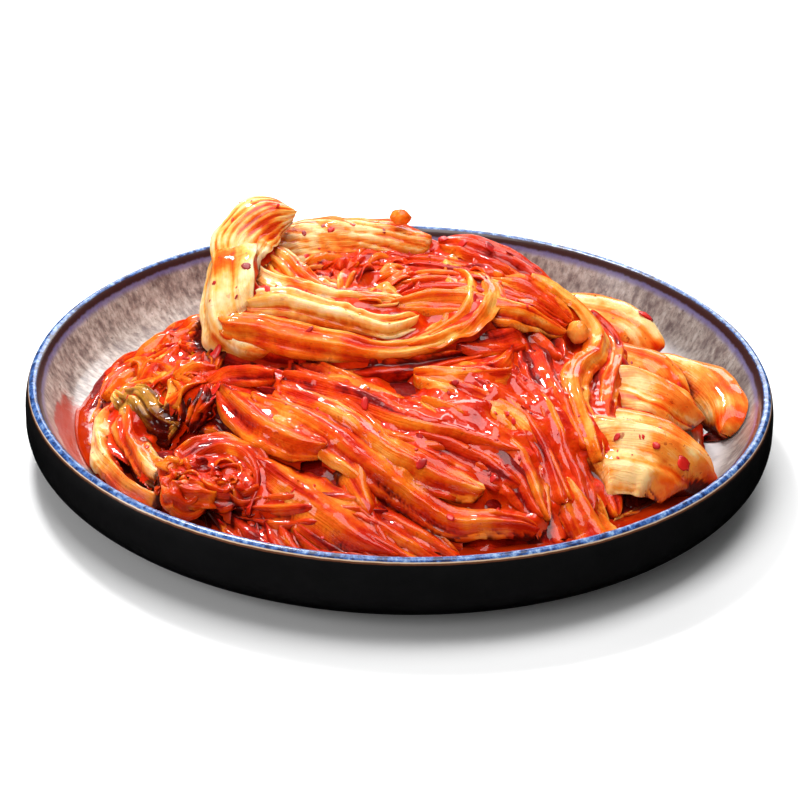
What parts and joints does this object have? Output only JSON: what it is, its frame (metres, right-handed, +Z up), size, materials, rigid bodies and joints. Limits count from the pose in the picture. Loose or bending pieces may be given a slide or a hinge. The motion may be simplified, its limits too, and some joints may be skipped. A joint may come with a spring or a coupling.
{
  "type": "kimchi in a dish",
  "caption": "Fermented cabbage leaves in red chilli brine, heaped under a roll of folded leaves in a shallow round stoneware dish.",
  "frame": {"origin": "under the middle of the dish, on the plane of its foot ring", "axes": "+Z up; -Y the front, which the picture shows; +X the right, towards the pale stems"},
  "size_m": [0.2224, 0.2224, 0.072],
  "materials": {
    "stoneware": "dark satin glaze outside, grey-beige streaked reactive glaze inside, blue lip",
    "brine": "wet, glossy, slightly cloudy red liquid",
    "red_leaf": "wet cabbage leaf in red chilli sauce",
    "pale_leaf": "wet pale cabbage stem with an orange stain",
    "green_leaf": "wet olive green cabbage leaf in sauce"
  },
  "bodies": {
    "root": {"brine": "brine", "curled_leaf": "red_leaf", "dish": "stoneware", "draped_strand": "pale_leaf", "fold_leaf": "red_leaf", "front_stem": "pale_leaf", "garlic_bit": "pale_leaf", "green_leaf": "green_leaf", "hanging_leaf": "red_leaf", "kimchi_heap": "red_leaf", "left_back_leaf": "red_leaf", "left_band": "red_leaf", "left_inner_stem": "red_leaf", "left_outer_stem": "pale_leaf", "left_sauced_leaf": "red_leaf", "long_leaf_front": "red_leaf", "long_leaf_left": "red_leaf", "long_leaf_middle": "red_leaf", "long_leaf_upper": "red_leaf", "outer_strand": "red_leaf", "pale_bead": "pale_leaf", "pale_curved_leaf": "red_leaf", "right_rib_inner": "red_leaf", "right_rib_outer": "red_leaf", "roll_back_band": "red_leaf", "roll_back_leaf": "red_leaf", "roll_front_band": "pale_leaf", "roll_heart": "red_leaf", "roll_inner_band": "red_leaf", "roll_pleats": "red_leaf", "roll_red_leaf": "red_leaf", "roll_ribbon": "red_leaf", "roll_right_band": "red_leaf", "roll_tip_flap": "pale_leaf", "roll_under_leaf": "red_leaf", "roll_wrap_leaf": "pale_leaf", "stem_back": "pale_leaf", "stem_end": "pale_leaf", "stem_front": "pale_leaf", "stem_middle": "pale_leaf", "stem_upper": "pale_leaf", "tongue_leaf": "red_leaf"}
  },
  "joints": []
}
